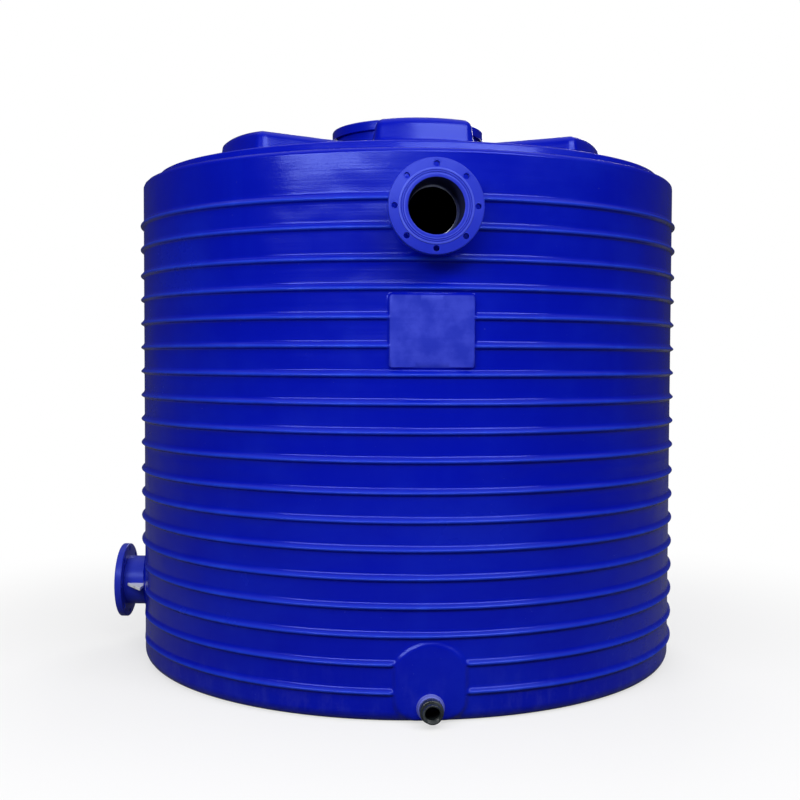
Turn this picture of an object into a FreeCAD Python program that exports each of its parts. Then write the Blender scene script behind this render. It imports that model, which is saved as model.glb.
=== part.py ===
"""Plastic water tank, about 10 cubic metres: a ribbed upright cylinder with a manhole and pipe fittings.

Millimetres. The origin is the centre of the flat base, +Z is up, and the front, with the upper
pipe flange, faces -Y. Every size is a named cell of the sheet or is worked out from those cells.
"""
import FreeCAD, Part
import os
import re

import Sketcher

doc = FreeCAD.newDocument("water_tank")
sizes = doc.addObject("Spreadsheet::Sheet", "sizes")

DRIVING_SIZES = [
    # the moulded barrel
    ("tank_radius", 1200),
    ("wall_thickness", 10),
    ("wall_top", 2087),
    ("foot_chamfer", 34),
    ("floor_thickness", 10),
    # the hoops moulded round the barrel, in three courses
    ("rib_rise", 14),
    ("rib_upper_flank", 24),
    ("rib_lower_flank", 10),
    ("rib_first", 113),
    ("rib_pitch", 105.2),
    ("course_gap", 10),
    ("course_rib_count", 8),
    ("top_rib_count", 2),
    # flat lands moulded on the front and round the side nozzle
    ("land_rise", 6),
    ("label_width", 316),
    ("label_bottom", 1306),
    ("label_height", 268),
    ("arch_width", 269),
    ("arch_spring", 220),
    ("arch_rise", 78),
    ("arch_foot", 8),
    ("side_arch_width", 350),
    ("side_arch_spring", 340),
    ("side_arch_rise", 150),
    # the roof
    ("shoulder_chamfer", 18),
    ("step_inset", 57),
    ("step_rise", 35),
    ("step_draft", 5),
    ("roof_rise", 140),
    ("lug_width", 388),
    ("lug_reach", 884),
    ("lug_rise", 143),
    ("lug_round", 26),
    # the manhole and its lid
    ("neck_radius", 332),
    ("neck_wall", 10),
    ("neck_height", 89),
    ("gasket_thickness", 5),
    ("lid_clearance", 9),
    ("lid_wall", 8),
    ("lid_skirt", 33),
    ("lid_dome", 22),
    ("lid_disc_radius", 210),
    ("lid_disc_rise", 9),
    # the two flanged nozzles
    ("pipe_bore", 100),
    ("pipe_wall", 12.5),
    ("nozzle_reach", 136),
    ("nozzle_inside", 15),
    ("nozzle_land", 150),
    ("flange_radius", 170),
    ("flange_thickness", 31),
    ("flange_face_rise", 3),
    ("flange_face_radius", 133),
    ("flange_edge", 3),
    ("groove_inset", 7),
    ("groove_width", 5),
    ("groove_depth", 3),
    ("bolt_circle", 295),
    ("bolt_hole", 22),
    ("bolt_count", 8),
    ("weld_leg", 14),
    ("front_nozzle_height", 1875),
    ("side_nozzle_height", 290),
    ("side_nozzle_turn", 95),
    ("gusset_width", 115),
    ("gusset_reach", 84),
    ("gusset_thickness", 12),
    # the threaded outlet at the foot
    ("outlet_height", 59),
    ("collar_radius", 50),
    ("collar_length", 20),
    ("nut_radius", 44),
    ("nut_length", 34),
    ("socket_radius", 36),
    ("socket_reach", 84),
    ("socket_bore", 28.33),
    ("socket_inside", 20),
]
DERIVED_SIZES = [
    ("inner_radius", "tank_radius - wall_thickness"),
    ("floor_radius", "tank_radius - foot_chamfer"),
    ("course_length", "(course_rib_count - 1) * rib_pitch"),
    ("second_course", "rib_first + course_length + rib_pitch + course_gap"),
    ("third_course", "second_course + course_length + rib_pitch + course_gap"),
    ("front_seam", "second_course - (rib_pitch + course_gap - rib_upper_flank + rib_lower_flank) / 2"),
    ("land_plane", "tank_radius + land_rise"),
    ("shoulder_top", "wall_top + shoulder_chamfer"),
    ("step_radius", "tank_radius - step_inset"),
    ("step_top", "shoulder_top + step_rise"),
    ("roof_top", "step_top + roof_rise"),
    ("lug_top", "step_top + lug_rise"),
    ("lug_start", "max(neck_radius; lug_width / 2 * tan(60)) + wall_thickness * 3"),
    ("neck_bore", "neck_radius - neck_wall"),
    ("neck_top", "roof_top + neck_height"),
    ("lid_seat", "neck_top + gasket_thickness"),
    ("lid_bore", "neck_radius + lid_clearance"),
    ("lid_radius", "lid_bore + lid_wall"),
    ("lid_edge", "lid_seat + lid_wall"),
    ("lid_crown", "lid_edge + lid_dome + lid_disc_rise"),
    ("pipe_radius", "pipe_bore + pipe_wall"),
    ("nozzle_face", "land_plane + nozzle_reach"),
    ("nozzle_back", "inner_radius - nozzle_inside"),
    ("bolt_face", "nozzle_face - flange_face_rise"),
    ("flange_back", "bolt_face - flange_thickness"),
]


def build_sheet():
    """Driving sizes are plain numbers, and the rest are formulas on them."""
    row = 1
    for alias, content in DRIVING_SIZES + [(name, "=" + formula) for name, formula in DERIVED_SIZES]:
        sizes.set("A%d" % row, alias)
        sizes.set("B%d" % row, str(content))
        sizes.setAlias("B%d" % row, alias)
        row += 1
    doc.recompute()


ALIASES = {alias for alias, content in DRIVING_SIZES + DERIVED_SIZES}
FULL_TURN = 360.0
UPRIGHT = "XY_Plane"
NEAR = 0.01
kept = []


def bound(formula):
    """A formula on the sheet's aliases, as an expression for a property of another object."""
    return re.sub(r"[a-z_]+", lambda word: "sizes." * (word.group() in ALIASES) + word.group(), formula)


def amount(formula):
    """The number that a formula on the sheet gives now."""
    return float(sizes.evalExpression(formula))


def keep(item, label):
    """Marks an object as a sub-part, written to a file named by its label."""
    item.Label = label
    kept.append(item)
    return item


def new(kind, name, **settings):
    """A new object: a setting that is text is a formula on the sheet."""
    item = doc.addObject(kind, name)
    for key, setting in settings.items():
        if isinstance(setting, str):
            item.setExpression(key, bound(setting))
        else:
            setattr(item, key, setting)
    return item


def turn_about_axis(item, degrees):
    """Turns an object about the tank's own axis."""
    item.Placement = FreeCAD.Placement(FreeCAD.Vector(), FreeCAD.Rotation(degrees, 0, 0))
    return item


def point_outwards(item, turn, height):
    """Lays an object's Z along a fitting's axis: out of the wall, turned from the front to the left."""
    item.setExpression("Placement", bound(
        "placement(vector(0; 0; %s); rotation(-(%s); 0; 90))" % (height, turn)))
    return item


def bind_point(sketch, geometry, vertex, corner):
    """Binds one point of a sketch to a pair of formulas."""
    for kind, formula in (("DistanceX", corner[0]), ("DistanceY", corner[1])):
        number = sketch.addConstraint(
            Sketcher.Constraint(kind, -1, 1, geometry, vertex, amount(formula)))
        sketch.setExpression("Constraints[%d]" % number, bound(formula))


def polygon(sketch, corners):
    """Draws a closed outline: each corner is a pair of formulas on the sheet, and stays bound to them."""
    points = [FreeCAD.Vector(amount(across), amount(up), 0) for across, up in corners]
    count = len(points)
    for index in range(count):
        sketch.addGeometry(Part.LineSegment(points[index], points[(index + 1) % count]))
    for index in range(count):
        sketch.addConstraint(Sketcher.Constraint("Coincident", index, 2, (index + 1) % count, 1))
    for index, corner in enumerate(corners):
        bind_point(sketch, index, 1, corner)
    return sketch


def new_body(name):
    return doc.addObject("PartDesign::Body", name)


def new_sketch(body, name, role, offset=None):
    """An empty sketch on one of the body's own origin planes, lifted off it by a formula."""
    sketch = body.newObject("Sketcher::SketchObject", name)
    support = [feature for feature in body.Origin.OriginFeatures if feature.Role == role]
    sketch.AttachmentSupport = [(support[0], "")]
    sketch.MapMode = "FlatFace"
    if offset:
        sketch.setExpression("AttachmentOffset.Base.z", bound(offset))
    return sketch


def turned_ring(name, corners, angle=FULL_TURN):
    """A body turned about its Z axis: the corners are pairs of a radius and a height."""
    body = new_body(name)
    line = polygon(new_sketch(body, name + "_line", "XZ_Plane"), corners)
    ring = body.newObject("PartDesign::Revolution", name + "_turned")
    ring.Profile = line
    ring.ReferenceAxis = (line, ["V_Axis"])
    ring.Angle = angle
    ring.Midplane = True
    return body


def round_bar(name, radius, start, end):
    """A body that is a plain cylinder on its Z axis."""
    return turned_ring(name, [("0", start), (radius, start), (radius, end), ("0", end)])


def padded(body, sketch, length):
    pad = body.newObject("PartDesign::Pad", sketch.Name + "_pad")
    pad.Profile = sketch
    pad.setExpression("Length", bound(length))
    doc.recompute()
    return pad


def boolean(kind, name, base, tool):
    """A Part boolean of two objects."""
    return new(kind, name, Base=base, Tool=tool)


def edges_where(shape, test):
    """Names of the edges whose middle point passes a test."""
    names = []
    for number, edge in enumerate(shape.Edges, 1):
        middle = edge.valueAt((edge.FirstParameter + edge.LastParameter) / 2)
        if test(edge, middle):
            names.append("Edge%d" % number)
    return names


build_sheet()


# Barrel: one rotationally moulded wall, plain inside, with eighteen hoops outside in three courses.
RIB_COURSES = [("lower", "rib_first", "course_rib_count"), ("middle", "second_course", "course_rib_count"),
               ("upper", "third_course", "top_rib_count")]


def barrel_with_ribs():
    body = turned_ring("barrel", [
        ("tank_radius - foot_chamfer", "0"),
        ("tank_radius", "foot_chamfer"),
        ("tank_radius", "wall_top"),
        ("inner_radius", "wall_top"),
        ("inner_radius", "foot_chamfer"),
        ("floor_radius", "floor_thickness"),
    ])
    root = "tank_radius - wall_thickness / 2"
    for course, crest, count in RIB_COURSES:
        line = polygon(new_sketch(body, course + "_rib_line", "XZ_Plane"), [
            (root, crest + " - rib_lower_flank"),
            ("tank_radius", crest + " - rib_lower_flank"),
            ("tank_radius + rib_rise", crest),
            ("tank_radius", crest + " + rib_upper_flank"),
            (root, crest + " + rib_upper_flank"),
        ])
        rib = body.newObject("PartDesign::Revolution", course + "_rib")
        rib.Profile = line
        rib.ReferenceAxis = (line, ["V_Axis"])
        rib.Angle = FULL_TURN
        doc.recompute()
        ribs = body.newObject("PartDesign::LinearPattern", course + "_ribs")
        ribs.Originals = [rib]
        ribs.Direction = (line, ["V_Axis"])
        ribs.setExpression("Length", bound("rib_pitch * (" + count + " - 1)"))
        ribs.setExpression("Occurrences", bound(count))
        body.Tip = ribs
        doc.recompute()
    return body


# Lands: flat places moulded on the round wall, where the hoops stop. One takes a label, an arched
# one takes the outlet and another the side nozzle, and a round one sits behind the front nozzle.
def label_outline(sketch):
    return polygon(sketch, [
        ("-label_width / 2", "label_bottom"),
        ("label_width / 2", "label_bottom"),
        ("label_width / 2", "label_bottom + label_height"),
        ("-label_width / 2", "label_bottom + label_height"),
    ])


def arched(sketch, corners, top, radius):
    """Draws a closed outline whose last side, back to the first corner, is an arc of this radius."""
    points = [FreeCAD.Vector(amount(across), amount(up), 0) for across, up in corners]
    count = len(points)
    for index in range(count - 1):
        sketch.addGeometry(Part.LineSegment(points[index], points[index + 1]))
    middle = FreeCAD.Vector(amount(top[0]), amount(top[1]), 0)
    sketch.addGeometry(Part.Arc(points[-1], middle, points[0]))
    for index in range(count - 1):
        sketch.addConstraint(Sketcher.Constraint("Coincident", index, 2, (index + 1) % count, 1))
    sketch.addConstraint(Sketcher.Constraint("Coincident", count - 1, 2, 0, 1))
    for index, corner in enumerate(corners):
        bind_point(sketch, index, 1, corner)
    number = sketch.addConstraint(Sketcher.Constraint("Radius", count - 1, amount(radius)))
    sketch.setExpression("Constraints[%d]" % number, bound(radius))
    return sketch


def arch_outline(width, spring, rise):
    """An outline with straight sides up to a spring line, and one arc over them."""
    half = width + " / 2"

    def drawn(sketch):
        return arched(sketch, [
            ("-" + half, spring),
            ("-" + half, "arch_foot"),
            (half, "arch_foot"),
            (half, spring),
        ], ("0", spring + " + " + rise), "((%s) ^ 2 + %s ^ 2) / (2 * %s)" % (half, rise, rise))

    return drawn


def wall_prism(name, outline, turn, start, length):
    """A prism on the wall, drawn as seen from outside and padded outwards."""
    body = new_body(name)
    padded(body, outline(new_sketch(body, name + "_line", UPRIGHT, offset=start)), length)
    return point_outwards(body, turn, "0")


RIB_TRIM = "rib_rise * 4"
LAND_DEPTH = "tank_radius * 0.15"


# Walls: the barrel is parted into eight upright segments, and the front one again between two hoops,
# above the outlet's land and below the label's.
SIDES = ["front_lower", "front_upper", "front_right", "right", "back_right", "back", "back_left", "left",
         "front_left"]
NOZZLES = [("front", "front_upper", "0", "front_nozzle_height"),
           ("side", "left", "side_nozzle_turn", "side_nozzle_height")]
OUTLINED_LANDS = [
    ("arch", "front_lower", arch_outline("arch_width", "arch_spring", "arch_rise"), "0"),
    ("label", "front_upper", label_outline, "0"),
    ("side_arch", "left", arch_outline("side_arch_width", "side_arch_spring", "side_arch_rise"),
     "side_nozzle_turn"),
]
ROUND_LANDS = NOZZLES[:1]
BORES = [(name, side, "pipe_radius", turn, height) for name, side, turn, height in NOZZLES]
BORES.append(("outlet", "front_lower", "socket_radius", "0", "outlet_height"))
FRONT_ANGLE = -90.0
WALL_STEP = 45.0
WEDGE_RADIUS = "tank_radius * 1.1"


def wall_blank(side, barrel):
    """One segment of the barrel: what a wedge about the tank's axis takes from it."""
    spans = {"front_lower": ("0", "front_seam"), "front_upper": ("front_seam", "wall_top")}
    bottom, top = spans.get(side, ("0", "wall_top"))
    turns = max(SIDES.index(side) - 1, 0)
    wedge = new("Part::Cylinder", side + "_wedge", Radius=WEDGE_RADIUS, Angle=WALL_STEP,
                Height=top + " - (" + bottom + ")")
    turn_about_axis(wedge, FRONT_ANGLE + WALL_STEP * (turns - 0.5))
    wedge.setExpression("Placement.Base.z", bound(bottom))
    return boolean("Part::Common", side + "_blank", barrel, wedge)


def with_land(wall, name, trim, fill, hollow):
    """A wall with its hoops trimmed in front of a land, and the land filled in behind."""
    trimmed = boolean("Part::Cut", name + "_trimmed", wall, trim)
    slab = boolean("Part::Cut", name + "_slab", fill, hollow)
    return boolean("Part::Fuse", name + "_filled", trimmed, slab)


def with_fittings(wall, side, hollow):
    """A wall with the lands and the bores that this side has."""
    for name, where, outline, turn in OUTLINED_LANDS:
        if where == side:
            trim = wall_prism(name + "_trim", outline, turn, "land_plane", RIB_TRIM)
            fill = wall_prism(name + "_land", outline, turn, "land_plane - " + LAND_DEPTH, LAND_DEPTH)
            wall = with_land(wall, name, trim, fill, hollow)
    for name, where, turn, height in ROUND_LANDS:
        if where == side:
            trim = round_bar(name + "_trim", "nozzle_land", "land_plane", "land_plane + " + RIB_TRIM)
            fill = round_bar(name + "_land", "nozzle_land", "land_plane - " + LAND_DEPTH, "land_plane")
            wall = with_land(wall, name, point_outwards(trim, turn, height),
                             point_outwards(fill, turn, height), hollow)
    for name, where, radius, turn, height in BORES:
        if where == side:
            bore = round_bar(name + "_bore", radius, "inner_radius / 2", WEDGE_RADIUS)
            wall = boolean("Part::Cut", name + "_bored", wall, point_outwards(bore, turn, height))
    return wall


def walls():
    barrel = barrel_with_ribs()
    hollow = turned_ring("hollow", [
        ("0", "-floor_thickness"),
        ("floor_radius", "-floor_thickness"),
        ("floor_radius", "floor_thickness"),
        ("inner_radius", "foot_chamfer"),
        ("inner_radius", "wall_top + wall_thickness"),
        ("0", "wall_top + wall_thickness"),
    ])
    for side in SIDES:
        keep(with_fittings(wall_blank(side, barrel), side, hollow), "wall_" + side)


def floor():
    plate = new("Part::Cylinder", "floor_plate", Radius="floor_radius", Height="floor_thickness")
    keep(plate, "tank_floor")


# Roof: a shoulder, a low step and a flat cone, with six hollow radial lugs that stiffen it. It is
# parted into six alike sectors, each with its own lug.
ROOF_SIDES = ["front", "front_right", "back_right", "back", "back_left", "front_left"]


def lug(name, shrink, ease, tool):
    """One radial lug: straight sides, and an outer end that is concentric with the tank."""
    body = new_body(name)
    half = "lug_width / 2 - " + shrink
    reach = "(lug_reach - " + shrink + ")"
    corner = "sqrt(" + reach + " ^ 2 - (" + half + ") ^ 2)"
    sketch = arched(new_sketch(body, name + "_line", UPRIGHT, offset="shoulder_top"), [
        (corner, half),
        ("lug_start", half),
        ("lug_start", "-(" + half + ")"),
        (corner, "-(" + half + ")"),
    ], (reach, "0"), reach)
    block = padded(body, sketch, "lug_top - " + shrink + " - shoulder_top")
    top = amount("lug_top - " + shrink)
    far = amount(corner)
    start = amount("lug_start")

    def outer_edge(edge, middle):
        """The top edges but the inner one, and the upright edges at the outer end."""
        on_top = abs(middle.z - top) < NEAR and middle.x > start + NEAR
        upright = abs(middle.x - far) < NEAR and abs(middle.z - top) > NEAR
        along_z = abs(abs(edge.tangentAt(edge.FirstParameter).z) - 1) < NEAR
        return on_top or (upright and along_z)

    eased = body.newObject(tool, name + "_eased")
    eased.Base = (block, edges_where(block.Shape, outer_edge))
    eased.setExpression("Radius" if tool.endswith("Fillet") else "Size", bound(ease))
    body.Tip = eased
    doc.recompute()
    return body


def roof():
    sector = FULL_TURN / len(ROOF_SIDES)
    skin = turned_ring("roof_outside", [
        ("tank_radius", "wall_top"),
        ("tank_radius - shoulder_chamfer", "shoulder_top"),
        ("step_radius", "shoulder_top"),
        ("step_radius - step_draft", "step_top"),
        ("neck_radius", "roof_top"),
        ("neck_radius", "wall_top"),
    ], sector)
    lining = turned_ring("roof_inside", [
        ("inner_radius", "wall_top - wall_thickness"),
        ("inner_radius", "wall_top"),
        ("inner_radius - shoulder_chamfer + wall_thickness", "shoulder_top - wall_thickness"),
        ("step_radius - wall_thickness", "shoulder_top - wall_thickness"),
        ("step_radius - step_draft - wall_thickness", "step_top - wall_thickness"),
        ("neck_radius", "roof_top - wall_thickness"),
        ("neck_radius", "wall_top - wall_thickness"),
    ], sector)
    outer_lug = lug("lug_outside", "0", "lug_round", "PartDesign::Fillet")
    inner_lug = lug("lug_inside", "wall_thickness", "lug_round - wall_thickness", "PartDesign::Chamfer")
    outside = boolean("Part::Fuse", "sector_outside", skin, outer_lug)
    inside = boolean("Part::Fuse", "sector_inside", lining, inner_lug)
    for index, side in enumerate(ROOF_SIDES):
        piece = boolean("Part::Cut", "roof_" + side + "_cut", outside, inside)
        keep(turn_about_axis(piece, FRONT_ANGLE + index * sector), "roof_" + side)


# Manhole: a short neck in the crown of the roof, a flat gasket on its rim, and a moulded cap over it.
def manhole():
    keep(turned_ring("neck", [
        ("neck_bore", "roof_top - wall_thickness"),
        ("neck_radius", "roof_top - wall_thickness"),
        ("neck_radius", "neck_top"),
        ("neck_bore", "neck_top"),
    ]), "manhole_neck")
    keep(turned_ring("gasket", [
        ("neck_bore", "neck_top"),
        ("neck_radius", "neck_top"),
        ("neck_radius", "lid_seat"),
        ("neck_bore", "lid_seat"),
    ]), "manhole_gasket")
    keep(turned_ring("lid", [
        ("0", "lid_crown - lid_wall"),
        ("lid_disc_radius", "lid_edge + lid_dome - lid_wall"),
        ("neck_bore", "lid_seat"),
        ("lid_bore", "lid_seat"),
        ("lid_bore", "lid_seat - lid_skirt"),
        ("lid_radius", "lid_seat - lid_skirt"),
        ("lid_radius", "lid_edge"),
        ("lid_disc_radius", "lid_edge + lid_dome"),
        ("lid_disc_radius - lid_disc_rise", "lid_crown"),
        ("0", "lid_crown"),
    ]), "manhole_lid")


# Nozzles: a pipe through the wall with a flat flange ring welded on its end, drilled for eight bolts,
# and a weld bead at the wall. The lower one has a gusset plate on each side.
def flange(name):
    body = turned_ring(name + "_ring", [
        ("pipe_radius", "flange_back"),
        ("flange_radius - flange_edge", "flange_back"),
        ("flange_radius", "flange_back + flange_edge"),
        ("flange_radius", "bolt_face - flange_edge"),
        ("flange_radius - flange_edge", "bolt_face"),
        ("flange_face_radius", "bolt_face"),
        ("flange_face_radius", "nozzle_face"),
        ("pipe_radius + groove_inset + groove_width", "nozzle_face"),
        ("pipe_radius + groove_inset + groove_width", "nozzle_face - groove_depth"),
        ("pipe_radius + groove_inset", "nozzle_face - groove_depth"),
        ("pipe_radius + groove_inset", "nozzle_face"),
        ("pipe_radius", "nozzle_face"),
    ])
    line = new_sketch(body, name + "_bolt_line", UPRIGHT, offset="nozzle_face")
    line.addGeometry(Part.Circle(FreeCAD.Vector(0, amount("bolt_circle") / 2, 0),
                                 FreeCAD.Vector(0, 0, 1), amount("bolt_hole") / 2))
    bind_point(line, 0, 3, ("0", "bolt_circle / 2"))
    across = line.addConstraint(Sketcher.Constraint("Diameter", 0, amount("bolt_hole")))
    line.setExpression("Constraints[%d]" % across, bound("bolt_hole"))
    hole = body.newObject("PartDesign::Pocket", name + "_bolt_hole")
    hole.Profile = line
    hole.Type = "ThroughAll"
    doc.recompute()
    holes = body.newObject("PartDesign::PolarPattern", name + "_bolt_holes")
    holes.Originals = [hole]
    holes.Axis = (line, ["N_Axis"])
    holes.Angle = FULL_TURN
    holes.setExpression("Occurrences", bound("bolt_count"))
    body.Tip = holes
    doc.recompute()
    return body


def nozzle(name, turn, height):
    pipe = turned_ring(name + "_tube", [
        ("pipe_bore", "nozzle_back"),
        ("pipe_radius", "nozzle_back"),
        ("pipe_radius", "nozzle_face"),
        ("pipe_bore", "nozzle_face"),
    ])
    weld = turned_ring(name + "_bead", [
        ("pipe_radius", "land_plane"),
        ("pipe_radius + weld_leg", "land_plane"),
        ("pipe_radius", "land_plane + weld_leg"),
    ])
    keep(point_outwards(pipe, turn, height), name + "_pipe")
    keep(point_outwards(flange(name), turn, height), name + "_flange")
    keep(point_outwards(weld, turn, height), name + "_weld")


def gussets():
    """Two flat triangles of bare plastic, from the wall to the pipe, level with its axis."""
    name, side, turn, height = NOZZLES[1]
    bead = "pipe_radius + weld_leg"
    for label, sign in (("side_gusset_near", "-"), ("side_gusset_far", "")):
        body = new_body(label + "_plate")
        line = polygon(new_sketch(body, label + "_line", "XZ_Plane", offset="-gusset_thickness / 2"), [
            (sign + "(pipe_radius)", "land_plane + weld_leg"),
            (sign + "(" + bead + ")", "land_plane"),
            (sign + "(pipe_radius + gusset_width)", "land_plane"),
            (sign + "(pipe_radius)", "land_plane + gusset_reach"),
        ])
        padded(body, line, "gusset_thickness")
        keep(point_outwards(body, turn, height), label)


# Outlet: a collar of the tank's own plastic on the arched land, and a threaded socket through the
# wall, drawn up on it by a round nut.
def outlet():
    rings = [
        ("outlet_collar", "socket_radius", "collar_radius", "land_plane", "collar_length"),
        ("outlet_nut", "socket_radius", "nut_radius", "land_plane + collar_length", "nut_length"),
        ("outlet_socket", "socket_bore", "socket_radius", "inner_radius - socket_inside",
         "land_plane + socket_reach - (inner_radius - socket_inside)"),
    ]
    for label, inside, outside, start, length in rings:
        end = start + " + " + length
        corners = [(inside, start), (outside, start), (outside, end), (inside, end)]
        ring = turned_ring(label + "_ring", corners)
        keep(point_outwards(ring, "0", "outlet_height"), label)


def check_all():
    """Stops if any object failed or any sub-part is not one sound shape."""
    for item in doc.Objects:
        if "Invalid" in item.State or "Error" in item.State:
            raise RuntimeError("failed: " + item.Name)
    for item in kept:
        if item.Shape.isNull() or not item.Shape.isValid():
            raise RuntimeError("not a sound shape: " + item.Label)


walls()
floor()
roof()
manhole()
for nozzle_name, nozzle_side, nozzle_turn, nozzle_height in NOZZLES:
    nozzle(nozzle_name, nozzle_turn, nozzle_height)
gussets()
outlet()
doc.recompute()
check_all()
os.makedirs("parts", exist_ok=True)
for item in kept:
    item.Shape.exportStep("parts/" + item.Label + ".step")
    print(item.Label, len(item.Shape.Solids), round(item.Shape.Volume / 1e6, 3))
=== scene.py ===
import math

import bmesh
import bpy
import numpy as np
from mathutils import Matrix, Vector


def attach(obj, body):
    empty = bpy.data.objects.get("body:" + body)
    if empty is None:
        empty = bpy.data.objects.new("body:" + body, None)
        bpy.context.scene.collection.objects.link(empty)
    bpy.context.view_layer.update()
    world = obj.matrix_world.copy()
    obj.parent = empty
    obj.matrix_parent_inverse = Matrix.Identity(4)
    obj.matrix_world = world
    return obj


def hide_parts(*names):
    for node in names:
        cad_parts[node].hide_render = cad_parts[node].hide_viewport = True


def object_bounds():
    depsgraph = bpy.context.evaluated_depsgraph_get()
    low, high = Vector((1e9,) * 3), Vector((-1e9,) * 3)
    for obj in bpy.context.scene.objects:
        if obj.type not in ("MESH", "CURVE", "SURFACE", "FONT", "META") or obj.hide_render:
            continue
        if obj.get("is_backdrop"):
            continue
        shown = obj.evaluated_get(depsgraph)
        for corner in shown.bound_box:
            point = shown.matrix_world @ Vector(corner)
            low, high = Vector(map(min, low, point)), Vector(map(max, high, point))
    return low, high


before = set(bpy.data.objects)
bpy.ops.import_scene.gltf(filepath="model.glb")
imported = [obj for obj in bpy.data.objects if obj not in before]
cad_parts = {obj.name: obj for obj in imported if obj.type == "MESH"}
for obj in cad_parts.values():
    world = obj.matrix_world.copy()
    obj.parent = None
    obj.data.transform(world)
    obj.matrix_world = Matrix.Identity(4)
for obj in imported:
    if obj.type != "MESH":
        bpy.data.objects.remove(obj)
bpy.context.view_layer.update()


# Camera: about five metres in front of the tank and a little to the left, held at 1.34 m, so
# that the upper pipe and the lid are seen from below and the foot from above.
CAMERA_PLACE = (-0.4054, -5.3054, 1.3445)
CAMERA_HEADING = math.radians(4.03)
CAMERA_TILT = math.radians(-2.14)
CAMERA_ROLL = math.radians(0.2)
CAMERA_LENS = 51.06
camera = bpy.data.objects.new("camera", bpy.data.cameras.new("camera"))
bpy.context.scene.collection.objects.link(camera)
camera.data.sensor_width = 36.0
camera.data.lens = CAMERA_LENS
camera.matrix_world = (Matrix.Translation(CAMERA_PLACE)
                       @ Matrix.Rotation(-CAMERA_HEADING, 4, "Z")
                       @ Matrix.Rotation(math.radians(90) + CAMERA_TILT, 4, "X")
                       @ Matrix.Rotation(CAMERA_ROLL, 4, "Z"))
bpy.context.scene.camera = camera
bpy.context.scene.view_settings.view_transform = "Standard"


# Floor and light: a pale ground that fades to white away from the tank, under a broad soft key
# from the front right, a smaller lamp from the front left, a third from behind and a sky that is
# bright only overhead.
class Term:
    """An output in a node tree. Sums of terms and numbers add that tree's Math nodes."""

    def __init__(self, tree, socket):
        self.tree = tree
        self.socket = socket

    def math(self, operation, *others):
        return self.tree.add("ShaderNodeMath", {"operation": operation},
                             dict(enumerate((self,) + others)))

    def __add__(self, other):
        return self.math("ADD", other)

    def __radd__(self, other):
        return self.math("ADD", other)

    def __sub__(self, other):
        return self.math("SUBTRACT", other)

    def __rsub__(self, other):
        return self.tree.add("ShaderNodeMath", {"operation": "SUBTRACT"}, {0: other, 1: self})

    def __mul__(self, other):
        return self.math("MULTIPLY", other)

    def __rmul__(self, other):
        return self.math("MULTIPLY", other)

    def __truediv__(self, other):
        return self.math("DIVIDE", other)

    def __pow__(self, other):
        return self.math("POWER", other)

    def fade(self, start, end):
        """0 at start and 1 at end, eased at both ends."""
        return self.tree.add("ShaderNodeMapRange", {"interpolation_type": "SMOOTHSTEP"},
                             {0: self, 1: start, 2: end})


class Tree:
    """A node tree that is written as expressions."""

    def __init__(self, tree):
        self.tree = tree

    def add(self, kind, settings=None, sockets=None, output=0):
        node = self.tree.nodes.new(kind)
        for key, setting in (settings or {}).items():
            if key == "curve":
                points = node.mapping.curves[0].points
                while len(points) < len(setting):
                    points.new(0.5, 0.5)
                for point, place in zip(points, setting):
                    point.location = place
                node.mapping.update()
            else:
                setattr(node, key, setting)
        for key, value in (sockets or {}).items():
            if isinstance(value, Term):
                self.tree.links.new(value.socket, node.inputs[key])
            else:
                node.inputs[key].default_value = value
        return Term(self, node.outputs[output]) if len(node.outputs) else None

    def mixed(self, share, first, second):
        """The first colour where share is 0 and the second where it is 1."""
        return self.add("ShaderNodeMix", {"data_type": "RGBA"}, {0: share, 6: first, 7: second}, 2)

    def parts(self, vector):
        """The three numbers of a vector."""
        node = self.add("ShaderNodeSeparateXYZ", {}, {0: vector}).socket.node
        return [Term(self, output) for output in node.outputs]


def new_material(name):
    material = bpy.data.materials.new(name)
    material.use_nodes = True
    material.node_tree.nodes.clear()
    return material, Tree(material.node_tree)


def rgb(red, green, blue):
    return (red, green, blue, 1.0)


GROUND_RADIUS = 40.0
GROUND_COLOUR = rgb(0.17, 0.17, 0.17)
GROUND_SHOWN = rgb(0.82, 0.82, 0.82)
FADE_TO_WHITE = (1.5, 3.4)
WHITE_NEAR = 0.62
ground_mesh = bmesh.new()
bmesh.ops.create_circle(ground_mesh, cap_ends=True, segments=96, radius=GROUND_RADIUS)
ground = bpy.data.objects.new("ground", bpy.data.meshes.new("ground"))
ground_mesh.to_mesh(ground.data)
ground_mesh.free()
bpy.context.scene.collection.objects.link(ground)
ground_paint, tree = new_material("ground_paint")
across, along, up = tree.parts(tree.add("ShaderNodeTexCoord", output="Object"))
distance = (across * across + along * along).math("SQRT")
far = distance.fade(*FADE_TO_WHITE)
seen = tree.add("ShaderNodeLightPath", output="Is Camera Ray")
matt = tree.add("ShaderNodeBsdfDiffuse", {},
                {"Color": tree.mixed(seen, GROUND_COLOUR, GROUND_SHOWN)})
white = tree.add("ShaderNodeEmission", {}, {"Color": rgb(1, 1, 1), "Strength": 1.0})
shown = tree.add("ShaderNodeMixShader", {},
                 {0: seen * (WHITE_NEAR + (1 - WHITE_NEAR) * far), 1: matt, 2: white})
tree.add("ShaderNodeOutputMaterial", {}, {"Surface": shown})
ground.data.materials.append(ground_paint)
ground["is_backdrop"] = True

SKY_LOW = 0.05
SKY_HIGH = 0.8
SKY_RISES = (0.55, 0.95)
world = bpy.data.worlds.new("sky")
world.use_nodes = True
world.node_tree.nodes.clear()
tree = Tree(world.node_tree)
seen = tree.add("ShaderNodeLightPath", output="Is Camera Ray")
upward = tree.parts(tree.add("ShaderNodeTexCoord", output="Generated"))[2]
backdrop = tree.add("ShaderNodeBackground", {}, {"Color": rgb(1, 1, 1), "Strength": 1.0})
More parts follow.
